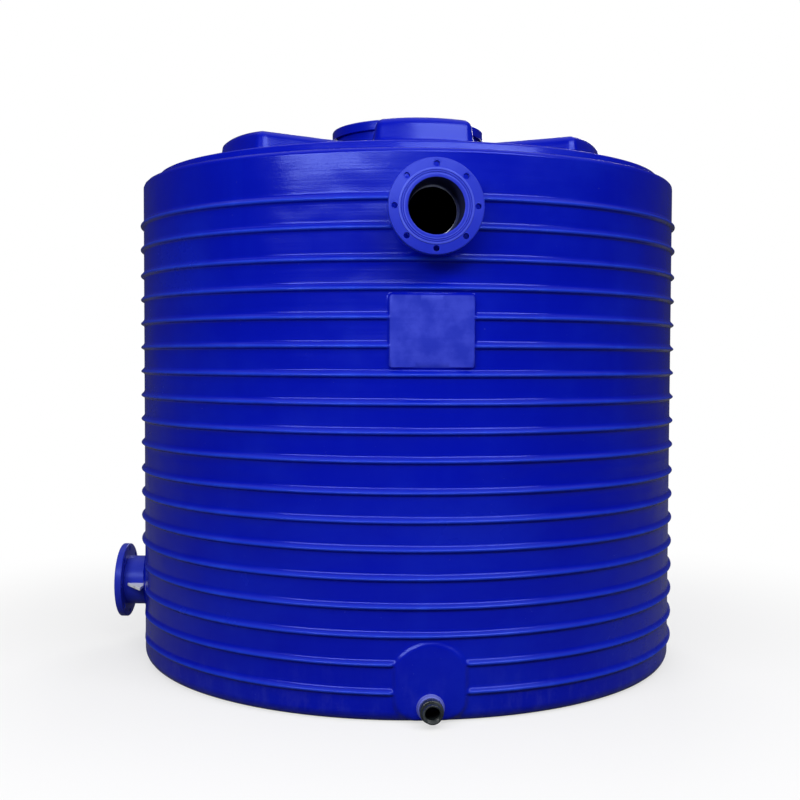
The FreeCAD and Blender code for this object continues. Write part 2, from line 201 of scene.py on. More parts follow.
sky = tree.add("ShaderNodeBackground", {}, {
    "Color": rgb(1, 1, 1), "Strength": SKY_LOW + SKY_HIGH * upward.fade(*SKY_RISES)})
tree.add("ShaderNodeOutputWorld", {},
         {"Surface": tree.add("ShaderNodeMixShader", {}, {0: seen, 1: sky, 2: backdrop})})
bpy.context.scene.world = world

LAMPS_AIM = (0, 0, 1.2)
# name, place, size across and up, watts
LAMPS = [
    ("key_lamp", (2.6, -6.0, 5.6), (7.0, 1.4), 350.0),
    ("front_lamp", (-2.8, -5.0, 3.5), (5.0, 0.9), 190.0),
    ("back_lamp", (1.5, 7.5, 4.5), (4.0, 3.0), 300.0),
]
for name, place, (wide, high), watts in LAMPS:
    lamp = bpy.data.objects.new(name, bpy.data.lights.new(name, "AREA"))
    lamp.data.shape = "RECTANGLE"
    lamp.data.size = wide
    lamp.data.size_y = high
    lamp.data.energy = watts
    bpy.context.scene.collection.objects.link(lamp)
    lamp.location = place
    toward_tank = Vector(LAMPS_AIM) - Vector(place)
    lamp.rotation_euler = toward_tank.to_track_quat("-Z", "Y").to_euler()


# Barrel: one moulding of blue polyethylene with a rounded foot, eighteen hoops in three courses,
# and flat lands where the hoops stop, for a label, the outlet and the two flanged pipes.
RADIUS = 1.200
WALL = 0.010
WALL_TOP = 2.087
FOOT_ROUND = 0.046
FIRST_HOOP = 0.113
HOOP_PITCH = 0.1052
COURSE_GAP = 0.010
HOOPS = 18
COURSE_HOOPS = 8
HOOP_RISE = 0.014
HOOP_BELOW = 0.015
HOOP_ABOVE = 0.023
# the drawn section of one hoop, from its lower edge to its upper one, as shares of width and rise
HOOP_SECTION = [(0.0, 0.0), (0.07, 0.04), (0.15, 0.24), (0.23, 0.62), (0.31, 0.92), (0.39, 1.0),
                (0.47, 0.95), (0.57, 0.72), (0.68, 0.40), (0.79, 0.13), (0.89, 0.02), (1.0, 0.0)]
LAND_PLANE = 1.206
LABEL_HALF = 0.158
LABEL_SPAN = (1.306, 1.574)
ARCH_HALF = 0.1345
ARCH_SPRING = 0.220
ARCH_TOP = 0.298
SIDE_ARCH_HALF = 0.175
SIDE_ARCH_SPRING = 0.340
SIDE_ARCH_TOP = 0.490
PIPE_LAND = 0.150
FRONT_PIPE_HEIGHT = 1.875
SIDE_PIPE_HEIGHT = 0.290
SIDE_TURN = math.radians(95)
OUTLET_HEIGHT = 0.059
PIPE_HOLE = 0.1065
OUTLET_HOLE = 0.0345

BLUE = rgb(0.0008, 0.0052, 0.39)
WORN_BLUE = rgb(0.006, 0.024, 0.50)
# painted highlight tone for the hoop crests and their lit upper flanks
HOOP_HIGHLIGHT_BLUE = rgb(0.012, 0.050, 0.62)
DUST = rgb(0.20, 0.24, 0.55)
SHEEN = rgb(0.32, 0.42, 1.0)
LAND_BLUE = rgb(0.014, 0.026, 0.43)
WORN_LAND_BLUE = rgb(0.032, 0.048, 0.52)


def blue_polyethylene(name, colour, worn, highlight_tone, gloss, waviness, patch=None):
    """Moulded polyethylene: wavy skin, mould lines, orange peel, clouded colour, dust and scuffs.

    The mesh's own stored share is a painted highlight, mixed in with the highlight tone. patch
    gives a mask, a colour and a roughness for a part of the skin with its own finish."""
    material, tree = new_material(name)
    place = tree.add("ShaderNodeTexCoord", output="Object")
    height = tree.parts(place)[2]

    def noise(stretch, detail, roughness=0.5, size=1.0):
        spot = tree.add("ShaderNodeMapping", {}, {"Vector": place, "Scale": stretch})
        return tree.add("ShaderNodeTexNoise", {}, {"Vector": spot, "Scale": size, "Detail": detail,
                                                   "Roughness": roughness})

    facing_up = tree.parts(tree.add("ShaderNodeNewGeometry", output="Normal"))[2]
    clouds = noise((1.5, 1.5, 2.2), 5.0, 0.6)
    runs = noise((9.0, 9.0, 0.9), 4.0, 0.6).fade(0.5, 0.78)
    scuffs = noise((6.0, 6.0, 90.0), 7.0, 0.75).fade(0.68, 0.8)
    specks = noise((85.0, 85.0, 85.0), 2.0).fade(0.74, 0.79)
    resting = facing_up.fade(0.8, 0.99) * noise((14.0, 14.0, 14.0), 5.0, 0.65).fade(0.3, 0.75)
    splash = height.fade(0.30, 0.0) * noise((16.0, 16.0, 7.0), 5.0, 0.7).fade(0.45, 0.75)
    skin = tree.mixed(0.35 * clouds.fade(0.4, 0.75), colour, worn)
    skin = tree.mixed(0.10 * runs + 0.22 * scuffs, skin, worn)
    # painted highlight: the stored share mixes in the lighter highlight tone
    highlight_share = tree.add("ShaderNodeAttribute", {"attribute_name": "wear"}, {}, "Fac")
    skin = tree.mixed(highlight_share * (0.6 + 0.4 * runs), skin, highlight_tone)
    skin = tree.mixed(0.14 * resting + 0.05 * splash + 0.12 * specks, skin, DUST)
    matt = gloss + 0.10 * clouds.fade(0.3, 0.7) + 0.22 * resting + 0.08 * scuffs
    if patch:
        mask, tone, roughness = patch(tree, place, noise)
        skin = tree.mixed(mask, skin, tone)
        matt = matt + mask * (roughness - matt)
    wave = tree.add("ShaderNodeBump", {}, {"Strength": waviness, "Distance": 0.05,
                                           "Height": noise((2.6, 2.6, 3.4), 2.0, 0.4)})
    lines = tree.add("ShaderNodeBump", {}, {"Strength": 0.6 * waviness, "Distance": 0.003,
                                            "Height": noise((1.2, 1.2, 52.0), 3.0, 0.5),
                                            "Normal": wave})
    peel = tree.add("ShaderNodeBump", {}, {"Strength": 0.14, "Distance": 0.0012,
                                           "Height": noise((130.0, 130.0, 130.0), 3.0, 0.55),
                                           "Normal": lines})
    shader = tree.add("ShaderNodeBsdfPrincipled", {}, {
        "Base Color": skin, "Roughness": matt, "Normal": peel, "Specular IOR Level": 0.45,
        "Specular Tint": SHEEN})
    tree.add("ShaderNodeOutputMaterial", {}, {"Surface": shader})
    return material


def rule(name, sizes):
    """A geometry tree with a named input for each size: its Tree, its sizes and its start mesh."""
    group = bpy.data.node_groups.new(name, "GeometryNodeTree")
    group.interface.new_socket("Start", in_out="INPUT", socket_type="NodeSocketGeometry")
    group.interface.new_socket("Result", in_out="OUTPUT", socket_type="NodeSocketGeometry")
    for label in sizes:
        group.interface.new_socket(label, in_out="INPUT", socket_type="NodeSocketFloat")
    tree = Tree(group)
    entry = group.nodes.new("NodeGroupInput")
    size = {label: Term(tree, entry.outputs[label]) for label in sizes}
    return tree, size, Term(tree, entry.outputs[0])


def with_painted_highlight(tree, shape, wear):
    """Keeps how much painted highlight each point gets, for the material to read."""
    return tree.add("GeometryNodeStoreNamedAttribute", {"data_type": "FLOAT", "domain": "POINT"},
                    {"Geometry": shape, "Name": "wear", "Value": wear})


def finish_rule(tree, shape, material):
    """Ends a tree: smooth faces with sharp edges kept, and the material."""
    angle = tree.add("GeometryNodeInputMeshEdgeAngle")
    soft = tree.add("FunctionNodeCompare", {"data_type": "FLOAT", "operation": "LESS_THAN"},
                    {0: angle, 1: math.radians(40)})
    for domain, smooth in (("FACE", True), ("EDGE", soft)):
        shape = tree.add("GeometryNodeSetShadeSmooth", {"domain": domain},
                         {"Geometry": shape, "Shade Smooth": smooth})
    shape = tree.add("GeometryNodeSetMaterial", {}, {"Geometry": shape, "Material": material})
    tree.add("NodeGroupOutput", {}, {0: shape})


def drawn_by_rule(name, start, tree, sizes):
    """Runs a geometry tree on a start mesh once, and keeps the result as a plain mesh."""
    piece = bpy.data.objects.new(name, start)
    bpy.context.scene.collection.objects.link(piece)
    modifier = piece.modifiers.new("rule", "NODES")
    modifier.node_group = tree.tree
    for item in tree.tree.interface.items_tree:
        if item.name in sizes:
            modifier[item.identifier] = float(sizes[item.name])
    evaluated = piece.evaluated_get(bpy.context.evaluated_depsgraph_get())
    made = bpy.data.meshes.new_from_object(evaluated)
    piece.modifiers.clear()
    piece.data = made
    face_outwards(made)
    return piece


def face_outwards(mesh):
    """Turns a closed mesh's faces round if they point inwards."""
    shape = bmesh.new()
    shape.from_mesh(mesh)
    if shape.calc_volume(signed=True) < 0:
        bmesh.ops.reverse_faces(shape, faces=shape.faces)
        shape.to_mesh(mesh)
    shape.free()


def rounded(corners, closed=False, steps=5):
    """A line through (across, up, rounding) corners, each corner with its own rounding."""
    points = []
    count = len(corners)
    for index, (across, up, rounding) in enumerate(corners):
        here = np.array([across, up])
        ends = not closed and index in (0, count - 1)
        if rounding == 0 or ends:
            points.append(here)
            continue
        before = np.array(corners[index - 1][:2]) - here
        after = np.array(corners[(index + 1) % count][:2]) - here
        before = before / np.linalg.norm(before)
        after = after / np.linalg.norm(after)
        half = math.acos(max(-1.0, min(1.0, before @ after))) / 2
        start = here + before * rounding / math.tan(half)
        end = here + after * rounding / math.tan(half)
        inward = (before + after) / np.linalg.norm(before + after)
        middle = here + inward * rounding / math.sin(half)
        for step in range(steps + 1):
            mixed = (start - middle) * (1 - step / steps) + (end - middle) * (step / steps)
            points.append(middle + mixed / np.linalg.norm(mixed) * rounding)
    return [tuple(point) for point in points]


def filled(values, gap):
    """Sorted values with more put between them wherever the gap is wider than gap(value)."""
    values = sorted(values)
    line = [values[0]]
    for value in values[1:]:
        span = value - line[-1]
        if span < 1e-6:
            continue
        pieces = max(1, math.ceil(span / gap((value + line[-1]) / 2) - 1e-6))
        start = line[-1]
        line += [start + span * (step + 1) / pieces for step in range(pieces)]
    return line


def flat_sheet(name, columns, section, depths, closed):
    """A grid to be rolled up: turn, radius and height as x, y and z, and its depth in the wall."""
    turns = len(columns)
    rows = len(section)
    points = np.array([(turn, radius, height) for turn in columns for radius, height in section])
    across = turns if closed else turns - 1
    faces = []
    for column in range(across):
        here = column * rows
        there = ((column + 1) % turns) * rows
        for row in range(rows):
            above = (row + 1) % rows
            faces.append((here + row, there + row, there + above, here + above))
    mesh = bpy.data.meshes.new(name)
    mesh.from_pydata(points.tolist(), [], faces)
    layer = mesh.attributes.new("depth", "FLOAT", "POINT")
    layer.data.foreach_set("value", np.tile(np.array(depths, np.float32), turns))
    return mesh


hoop_heights = [FIRST_HOOP + HOOP_PITCH * hoop + COURSE_GAP * (hoop // COURSE_HOOPS)
                for hoop in range(HOOPS)]
HOOP_ROW_SHARES = (0.0, 0.05, 0.1, 0.15, 0.2, 0.26, 0.33, 0.4, 0.48, 0.58, 0.7, 0.85, 1.0)
hoop_rows = [height - HOOP_BELOW + share * (HOOP_BELOW + HOOP_ABOVE)
             for height in hoop_heights for share in HOOP_ROW_SHARES]
land_rows = [ARCH_TOP, LABEL_SPAN[0] - 0.005, LABEL_SPAN[0] + 0.004,
             LABEL_SPAN[1] - 0.004, LABEL_SPAN[1] + 0.005]
FRONT = -math.pi / 2
SIDE = FRONT - SIDE_TURN
FINE_LEVELS_END = 0.50
PIPE_LEVELS = 0.16
LABEL_LEVELS = 0.012
FRONT_FINE = 0.152
SIDE_FINE = 0.165


def row_gap(height):
    """Rows are close together only where a land's outline crosses them at a slant."""
    if height < FINE_LEVELS_END or abs(height - FRONT_PIPE_HEIGHT) < PIPE_LEVELS:
        return 0.0065
    return 0.006 if min(abs(height - edge) for edge in LABEL_SPAN) < LABEL_LEVELS else 0.024


def column_gap(turn):
    """Columns are close together only at the front and at the side pipe."""
    if abs(turn - FRONT) < FRONT_FINE:
        return 0.0047
    return 0.008 if abs(turn - SIDE) < SIDE_FINE else math.radians(2.5)


marks = [-1.5 * math.pi, SIDE - SIDE_FINE, SIDE + SIDE_FINE, FRONT - FRONT_FINE,
         FRONT + FRONT_FINE, math.pi / 2]
columns = filled(marks, column_gap)[:-1]
CLOSE_BEND = 0.0005
foot = rounded([(RADIUS - FOOT_ROUND, 0.0, 0), (RADIUS, 0.0, FOOT_ROUND - CLOSE_BEND),
                (RADIUS, 0.2, 0)], steps=8)[:-1]
risen = filled([foot[-1][1], WALL_TOP] + [row for row in hoop_rows + land_rows if row > FOOT_ROUND],
               row_gap)
inner_foot = rounded([(RADIUS - FOOT_ROUND, WALL, 0),
                      (RADIUS - WALL, WALL, FOOT_ROUND - WALL - CLOSE_BEND),
                      (RADIUS - WALL, 0.2, 0)], steps=5)[:-1]
fallen = filled([inner_foot[-1][1], WALL_TOP], lambda height: 0.2)
outer = foot + [(RADIUS, height) for height in risen[1:]]
inner = [(RADIUS - WALL, height) for height in reversed(fallen[1:])] + inner_foot[::-1]
section = outer + inner
depths = [0.0] * len(outer) + [WALL] * len(inner)
sheet = flat_sheet("barrel_sheet", columns, section, depths, closed=True)

BARREL_SIZES = {"Hoop Rise": HOOP_RISE, "First Hoop": FIRST_HOOP, "Hoop Pitch": HOOP_PITCH,
                "Course Gap": COURSE_GAP, "Land Plane": LAND_PLANE, "Hoop End": 0.014}
tree, size, start = rule("hooped_barrel", BARREL_SIZES)
turn, radius, height = tree.parts(tree.add("GeometryNodeInputPosition"))
depth = tree.add("GeometryNodeInputNamedAttribute", {"data_type": "FLOAT"}, {"Name": "depth"})
outside = 1.0 - depth.math("GREATER_THAN", WALL / 2)
second = FIRST_HOOP + HOOP_PITCH * (COURSE_HOOPS - 0.5)
third = second + HOOP_PITCH * COURSE_HOOPS + COURSE_GAP
course = height.math("GREATER_THAN", second) + height.math("GREATER_THAN", third)
risen_by = height - size["First Hoop"] - size["Course Gap"] * course
nearest = (risen_by / size["Hoop Pitch"]).math("ROUND")
nearest = nearest.math("MINIMUM", HOOPS - 1.0).math("MAXIMUM", 0.0)
from_crest = risen_by - nearest * size["Hoop Pitch"]
share = (from_crest + HOOP_BELOW) / (HOOP_BELOW + HOOP_ABOVE)
share = share.math("MINIMUM", 1.0).math("MAXIMUM", 0.0)
hoop = tree.add("ShaderNodeFloatCurve", {"curve": HOOP_SECTION}, {"Value": share}) * outside
above_underside = share.fade(0.08, 0.24)


def past_box(across, up, half_across, half_up, corner):
    """How far a place is outside a box with round corners, below 0 inside it."""
    over = across.math("ABSOLUTE") - (half_across - corner)
    above = up.math("ABSOLUTE") - (half_up - corner)
    outward = (over.math("MAXIMUM", 0.0) ** 2.0 + above.math("MAXIMUM", 0.0) ** 2.0).math("SQRT")
    return outward + over.math("MAXIMUM", above).math("MINIMUM", 0.0) - corner


def past_arch(across, up, half, spring, top):
    """How far a place is outside an arch with straight sides and one arc over them."""
    bend = (half ** 2 + (top - spring) ** 2) / (2 * (top - spring))
    over = (across ** 2.0 + (up - (top - bend)) ** 2.0).math("SQRT") - bend
    return over.math("SMOOTH_MAX", across.math("ABSOLUTE") - half, 0.02)


def past_label(across, up):
    """How far a place is outside the land for a label."""
    return past_box(across, up - sum(LABEL_SPAN) / 2, LABEL_HALF,
                    (LABEL_SPAN[1] - LABEL_SPAN[0]) / 2, 0.014)


COLLAR_SIDES = (0.052, 0.095)
SIDE_HOOPS_FADE = (0.27, 0.50)
SIDE_HOOPS_LEVEL = (0.52, 0.47)
FOOT_FADE = 0.02
# each land's bearing and kind, how far outside its outline a hoop is gone and is whole, and how
# wide its own edge is
lands = []
for bearing, kind, hoop_gone, hoop_whole, edge in (
        (FRONT, "label", -0.003, 0.004, 0.0045), (FRONT, "arch", -0.004, size["Hoop End"], 0.010),
        (FRONT, "front_pipe", 0.0, size["Hoop End"], 0.005),
        (SIDE, "side_arch", -0.004, size["Hoop End"], 0.010)):
    out = radius * (turn - bearing).math("COSINE")
    across = radius * (turn - bearing).math("SINE")
    if kind == "label":
        past = past_label(across, height)
    elif kind == "arch":
        past = past_arch(across, height, ARCH_HALF, ARCH_SPRING, ARCH_TOP)
    elif kind == "side_arch":
        past = past_arch(across, height, SIDE_ARCH_HALF, SIDE_ARCH_SPRING, SIDE_ARCH_TOP)
    else:
        past = (across ** 2.0 + (height - FRONT_PIPE_HEIGHT) ** 2.0).math("SQRT") - PIPE_LAND
    past = past + 9.0 * out.math("LESS_THAN", 0.0)
    whole = past.fade(hoop_gone, hoop_whole)
    flat_out = out
    if kind == "arch":
        # away from the outlet's collar the land follows the rounded foot
        flat_out = out + (RADIUS - radius) * across.math("ABSOLUTE").fade(*COLLAR_SIDES)
    elif kind == "side_arch":
        # the hoops die out before they reach this land
        flat_out = out + (RADIUS - radius)
        whole = whole * (1.0 - (1.0 - across.math("ABSOLUTE").fade(*SIDE_HOOPS_FADE))
                         * height.fade(*SIDE_HOOPS_LEVEL) * out.math("GREATER_THAN", 0.0))
    lands.append((bearing, flat_out, past, whole, edge))
ends = size["Hoop Rise"] * hoop
for bearing, flat_out, past, whole, edge in lands:
    ends = ends * whole
full = radius + ends
rolled = tree.add("ShaderNodeCombineXYZ", {}, {0: full * turn.math("COSINE"),
                                                1: full * turn.math("SINE"), 2: height})
for bearing, flat_out, past, whole, edge in lands:
    share = past.fade(edge, -edge) * outside * height.fade(0.0, FOOT_FADE)
    push = share * (size["Land Plane"] - flat_out)
    move = tree.add("ShaderNodeVectorMath", {"operation": "SCALE"},
                    {0: (math.cos(bearing), math.sin(bearing), 0.0), "Scale": push})
    rolled = tree.add("ShaderNodeVectorMath", {"operation": "ADD"}, {0: rolled, 1: move})
# painted highlight on a hoop's crest and the lit flank above it, none on its shaded underside
highlight_share = (ends / size["Hoop Rise"]).fade(0.45, 1.0) * above_underside
shape = with_painted_highlight(tree, start, highlight_share)
shape = tree.add("GeometryNodeSetPosition", {}, {"Geometry": shape, "Position": rolled})
for bearing, level, hole in ((FRONT, FRONT_PIPE_HEIGHT, PIPE_HOLE),
                             (SIDE, SIDE_PIPE_HEIGHT, PIPE_HOLE),
                             (FRONT, OUTLET_HEIGHT, OUTLET_HOLE)):
    cutter = tree.add("GeometryNodeMeshCylinder", {"fill_type": "NGON"},
                      {"Vertices": 64, "Radius": hole, "Depth": 0.12})
    cutter = tree.add("GeometryNodeTransform", {}, {
        "Geometry": cutter,
        "Translation": (math.cos(bearing) * RADIUS, math.sin(bearing) * RADIUS, level),
        "Rotation": (0.0, math.radians(90), bearing)})
    shape = tree.add("GeometryNodeMeshBoolean", {"operation": "DIFFERENCE", "solver": "EXACT"},
                     {"Mesh 1": shape, "Mesh 2": cutter})
shape = tree.add("GeometryNodeMergeByDistance", {}, {"Geometry": shape, "Distance": 0.0001})


def plain_land(tree, place, noise):
    """The rectangular land at the front: a paler, duller, mottled skin."""
    across, outward, up = tree.parts(place)
    mask = past_label(across, up).fade(0.001, -0.006) * outward.math("LESS_THAN", 0.0)
    mottle = noise((14.0, 14.0, 14.0), 4.0, 0.55)
    tone = tree.mixed(mottle.fade(0.35, 0.7), LAND_BLUE, WORN_LAND_BLUE)
    return mask, tone, 0.40 + 0.1 * mottle


tank_skin = blue_polyethylene("tank_skin", BLUE, WORN_BLUE, HOOP_HIGHLIGHT_BLUE, 0.18, 0.35, plain_land)
finish_rule(tree, shape, tank_skin)
barrel = drawn_by_rule("tank_barrel", sheet, tree, BARREL_SIZES)
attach(barrel, "tank")
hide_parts("wall_front_lower", "wall_front_upper", "wall_front_right", "wall_right",
            "wall_back_right", "wall_back", "wall_back_left", "wall_left", "wall_front_left")


# Tank floor: the flat bottom of the same moulding, seen only through the manhole and from below,
# where the barrel's rounded foot turns in to meet it.
FLOOR_RADIUS = RADIUS - FOOT_ROUND + 0.0004


def thicken(shape, along):
    """Draws the flat face of a bmesh out into a plate."""
    grown = bmesh.ops.extrude_face_region(shape, geom=shape.faces[:])["geom"]
    moved = [item for item in grown if isinstance(item, bmesh.types.BMVert)]
    bmesh.ops.translate(shape, verts=moved, vec=along)
    bmesh.ops.recalc_face_normals(shape, faces=shape.faces)


bottom = bmesh.new()
bmesh.ops.create_circle(bottom, cap_ends=True, segments=180, radius=FLOOR_RADIUS)
thicken(bottom, (0, 0, WALL))
tank_bottom = bpy.data.objects.new("tank_bottom", bpy.data.meshes.new("tank_bottom"))
bottom.to_mesh(tank_bottom.data)
bottom.free()
tank_bottom.data.materials.append(tank_skin)
bpy.context.scene.collection.objects.link(tank_bottom)
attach(tank_bottom, "tank")
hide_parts("tank_floor")


# Roof: part of the same moulding, with a rounded shoulder, a low step, a flat cone up to the
# manhole, and six hollow lugs round it that stiffen the cone and take lifting straps.
SHOULDER = 0.018
SHOULDER_TOP = 2.105
STEP_RADIUS = 1.143
STEP_TOP = 2.140
STEP_DRAFT = 0.005
ROOF_TOP = 2.280
NECK_RADIUS = 0.332
LUGS = 6
LUG_HALF = 0.190
LUG_REACH = 0.880
LUG_TOP = 2.283
LUG_ROUND = 0.032
LUG_CROWN = 0.22
LUG_CORNER = 0.030
LUG_SLOPE = 7.0
LUG_FOOT = 0.022
HALF_SECTOR = math.radians(30)
outer_line = rounded([
    (RADIUS, WALL_TOP, 0), (RADIUS, SHOULDER_TOP, SHOULDER - CLOSE_BEND),
    (STEP_RADIUS, SHOULDER_TOP, 0.007), (STEP_RADIUS - STEP_DRAFT, STEP_TOP, 0.010),
    (NECK_RADIUS, ROOF_TOP, 0)])
inner_line = rounded([
    (RADIUS - WALL, WALL_TOP, 0), (RADIUS - WALL, SHOULDER_TOP - WALL, 0.006),
    (STEP_RADIUS - WALL, SHOULDER_TOP - WALL, 0.010),
    (STEP_RADIUS - STEP_DRAFT - WALL, STEP_TOP - WALL, 0.006), (NECK_RADIUS, ROOF_TOP - WALL, 0)],
    steps=3)
edge_steps = (-0.034, -0.028, -0.023, -0.019, -0.015, -0.011, -0.007, -0.004, -0.002, 0.0, 0.002,
              0.004, 0.006, 0.008, 0.010, 0.013, 0.018)


def cone_rows(line, gap, steps):
    """Adds rows to the cone of a roof line, close together where the lugs end."""
    (far_radius, far_height), (near_radius, near_height) = line[-2], line[-1]
    wanted = filled([near_radius, far_radius] + [LUG_REACH + step for step in steps], gap)
    return line[:-2] + [(radius, far_height + (near_height - far_height)
                         * (far_radius - radius) / (far_radius - near_radius))
                        for radius in reversed(wanted)]


outer_line = cone_rows(outer_line, lambda radius: 0.05, edge_steps)
inner_line = cone_rows(inner_line, lambda radius: 0.09, edge_steps[::2])
roof_section = outer_line + inner_line[::-1]
roof_depths = [0.0] * len(outer_line) + [WALL] * len(inner_line)
half_columns = filled([0.0] + [LUG_HALF + step for step in edge_steps], lambda across: 0.03)
lug_columns = [-across for across in reversed(half_columns[1:])] + half_columns
open_columns = [0.25, 0.5, 0.75, 1.0]
strip = [("open", -share) for share in reversed(open_columns)]
strip += [("lug", across) for across in lug_columns] + [("open", share) for share in open_columns]
sheet = flat_sheet("roof_sheet", range(len(strip)), roof_section, roof_depths, closed=False)
places = np.zeros(len(sheet.vertices) * 3)
sheet.vertices.foreach_get("co", places)
places = places.reshape(-1, 3)
edge_across = lug_columns[-1]
for point in places:
    kind, value = strip[int(round(point[0]))]
    widest = point[1] * math.sin(HALF_SECTOR - math.radians(1))
    limit = math.asin(min(edge_across, widest) / point[1])
    if kind == "lug":
        point[0] = math.asin(value * min(1.0, widest / edge_across) / point[1])
    else:
        point[0] = math.copysign(limit + (HALF_SECTOR - limit) * abs(value), value)
sheet.vertices.foreach_set("co", places.reshape(-1))

ROOF_SIZES = {"Lug Half Width": LUG_HALF, "Lug Reach": LUG_REACH, "Lug Top": LUG_TOP,
              "Lug Round": LUG_ROUND, "Lug Slope": LUG_SLOPE, "Lug Crown": LUG_CROWN,
              "Foot Round": LUG_FOOT}
tree, size, start = rule("lugged_roof", ROOF_SIZES)
turn, radius, height = tree.parts(tree.add("GeometryNodeInputPosition"))
depth = tree.add("GeometryNodeInputNamedAttribute", {"data_type": "FLOAT"}, {"Name": "depth"})
across = radius * turn.math("SINE")
over = across.math("ABSOLUTE") - (size["Lug Half Width"] - depth - LUG_CORNER)
beyond = radius - (size["Lug Reach"] - depth - LUG_CORNER)
past = ((over.math("MAXIMUM", 0.0) ** 2.0 + beyond.math("MAXIMUM", 0.0) ** 2.0).math("SQRT")
        + over.math("MAXIMUM", beyond).math("MINIMUM", 0.0) - LUG_CORNER)
bend = size["Lug Round"] - depth
inward = (past + bend).math("MAXIMUM", 0.0).math("MINIMUM", bend)
crown = (bend * bend - inward * inward).math("MAXIMUM", 0.0).math("SQRT")
lug = size["Lug Top"] - depth - bend + crown - past.math("MAXIMUM", 0.0) * size["Lug Slope"]
lug = lug - size["Lug Crown"] * across * across
raised = height.math("SMOOTH_MAX", lug, size["Foot Round"])
# the cone keeps its own height next to the neck and out on the shoulder
on_cone = radius.fade(NECK_RADIUS + 0.02, NECK_RADIUS + 0.08)
on_cone = on_cone * radius.math("LESS_THAN", STEP_RADIUS - 0.03)
height = height + (raised - height) * on_cone
rolled = tree.add("ShaderNodeCombineXYZ", {}, {0: radius * turn.math("COSINE"),
                                                1: radius * turn.math("SINE"), 2: height})
sector = tree.add("GeometryNodeSetPosition", {}, {"Geometry": start, "Position": rolled})
centres = tree.add("GeometryNodePoints", {}, {"Count": LUGS})
number = tree.add("GeometryNodeInputIndex")
facing = tree.add("ShaderNodeCombineXYZ", {}, {2: number * (2 * math.pi / LUGS) - math.pi / 2})
sectors = tree.add("GeometryNodeInstanceOnPoints", {}, {"Points": centres, "Instance": sector,
                                                         "Rotation": facing})
whole = tree.add("GeometryNodeRealizeInstances", {}, {"Geometry": sectors})
whole = tree.add("GeometryNodeMergeByDistance", {}, {"Geometry": whole, "Distance": 0.00002})
finish_rule(tree, whole, tank_skin)
roof = drawn_by_rule("tank_roof", sheet, tree, ROOF_SIZES)
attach(roof, "tank")
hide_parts("roof_front", "roof_front_right", "roof_back_right", "roof_back",
            "roof_back_left", "roof_front_left")


# Manhole neck: the short upright collar of the same moulding, with a soft fillet onto the roof
# and a rounded rim that the gasket lies on.
NECK_TOP = 2.369


def turned(name, section, material, steps=96, closed=True, ripple=None):
    """A piece turned about the Z axis from a line of radii and heights."""
    angles = np.arange(steps) * 2 * math.pi / steps
    points = []
    rows = []
    for number, (radius, height) in enumerate(section):
        if radius < 1e-6:
            rows.append([len(points)])
            points.append((0.0, 0.0, height))
            continue
        rows.append(list(range(len(points), len(points) + steps)))
        for angle in angles:
            grown = radius + (ripple(number, angle) if ripple else 0.0)
            points.append((grown * math.cos(angle), grown * math.sin(angle), height))
    faces = []
    pairs = list(zip(rows, rows[1:])) + ([(rows[-1], rows[0])] if closed else [])
    for low, high in pairs:
        for step in range(steps):
            after = (step + 1) % steps
            if len(low) == 1:
                faces.append((low[0], high[after], high[step]))
            elif len(high) == 1:
                faces.append((low[step], low[after], high[0]))
            else:
                faces.append((low[step], low[after], high[after], high[step]))
    mesh = bpy.data.meshes.new(name)
    mesh.from_pydata(points, [], faces)
    mesh.materials.append(material)
    face_outwards(mesh)
    mesh.polygons.foreach_set("use_smooth", [True] * len(mesh.polygons))
    mesh.set_sharp_from_angle(angle=math.radians(38))
    piece = bpy.data.objects.new(name, mesh)
    bpy.context.scene.collection.objects.link(piece)
    return piece


neck = turned("manhole_collar", rounded([
    (NECK_RADIUS - 0.010, ROOF_TOP - WALL, 0.002), (NECK_RADIUS + 0.022, ROOF_TOP - 0.0135, 0.001),
    (NECK_RADIUS + 0.021, ROOF_TOP - 0.0025, 0.0), (NECK_RADIUS, ROOF_TOP - 0.002, 0.016),
    (NECK_RADIUS, NECK_TOP, 0.003), (NECK_RADIUS - 0.010, NECK_TOP, 0.003)],
    closed=True), tank_skin)
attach(neck, "tank")
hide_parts("manhole_neck")


# Manhole lid: a moulded cap that drops over the neck, with a deep skirt, a rounded rim and a
# flat raised disc, on a flat rubber gasket.
LID_SEAT = 2.374
LID_BORE = 0.341
LID_RADIUS = 0.349
LID_SKIRT = 2.341
LID_EDGE = 2.382
LID_CROWN = 2.413
DISC_RADIUS = 0.210
lid = turned("manhole_cover", rounded([
    (0.0, LID_CROWN - 0.008, 0), (DISC_RADIUS - 0.012, LID_CROWN - 0.008, 0.004),
    (DISC_RADIUS, 2.396, 0.004), (NECK_RADIUS - 0.010, LID_SEAT, 0.003),
    (LID_BORE, LID_SEAT, 0.002),
    (LID_BORE, LID_SKIRT, 0.002), (LID_RADIUS, LID_SKIRT, 0.002), (LID_RADIUS, LID_EDGE, 0.010),
    (DISC_RADIUS + 0.004, LID_CROWN - 0.009, 0.006), (DISC_RADIUS - 0.007, LID_CROWN, 0.007),
    (0.0, LID_CROWN, 0)]), tank_skin, steps=128, closed=False)
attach(lid, "lid")
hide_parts("manhole_lid")


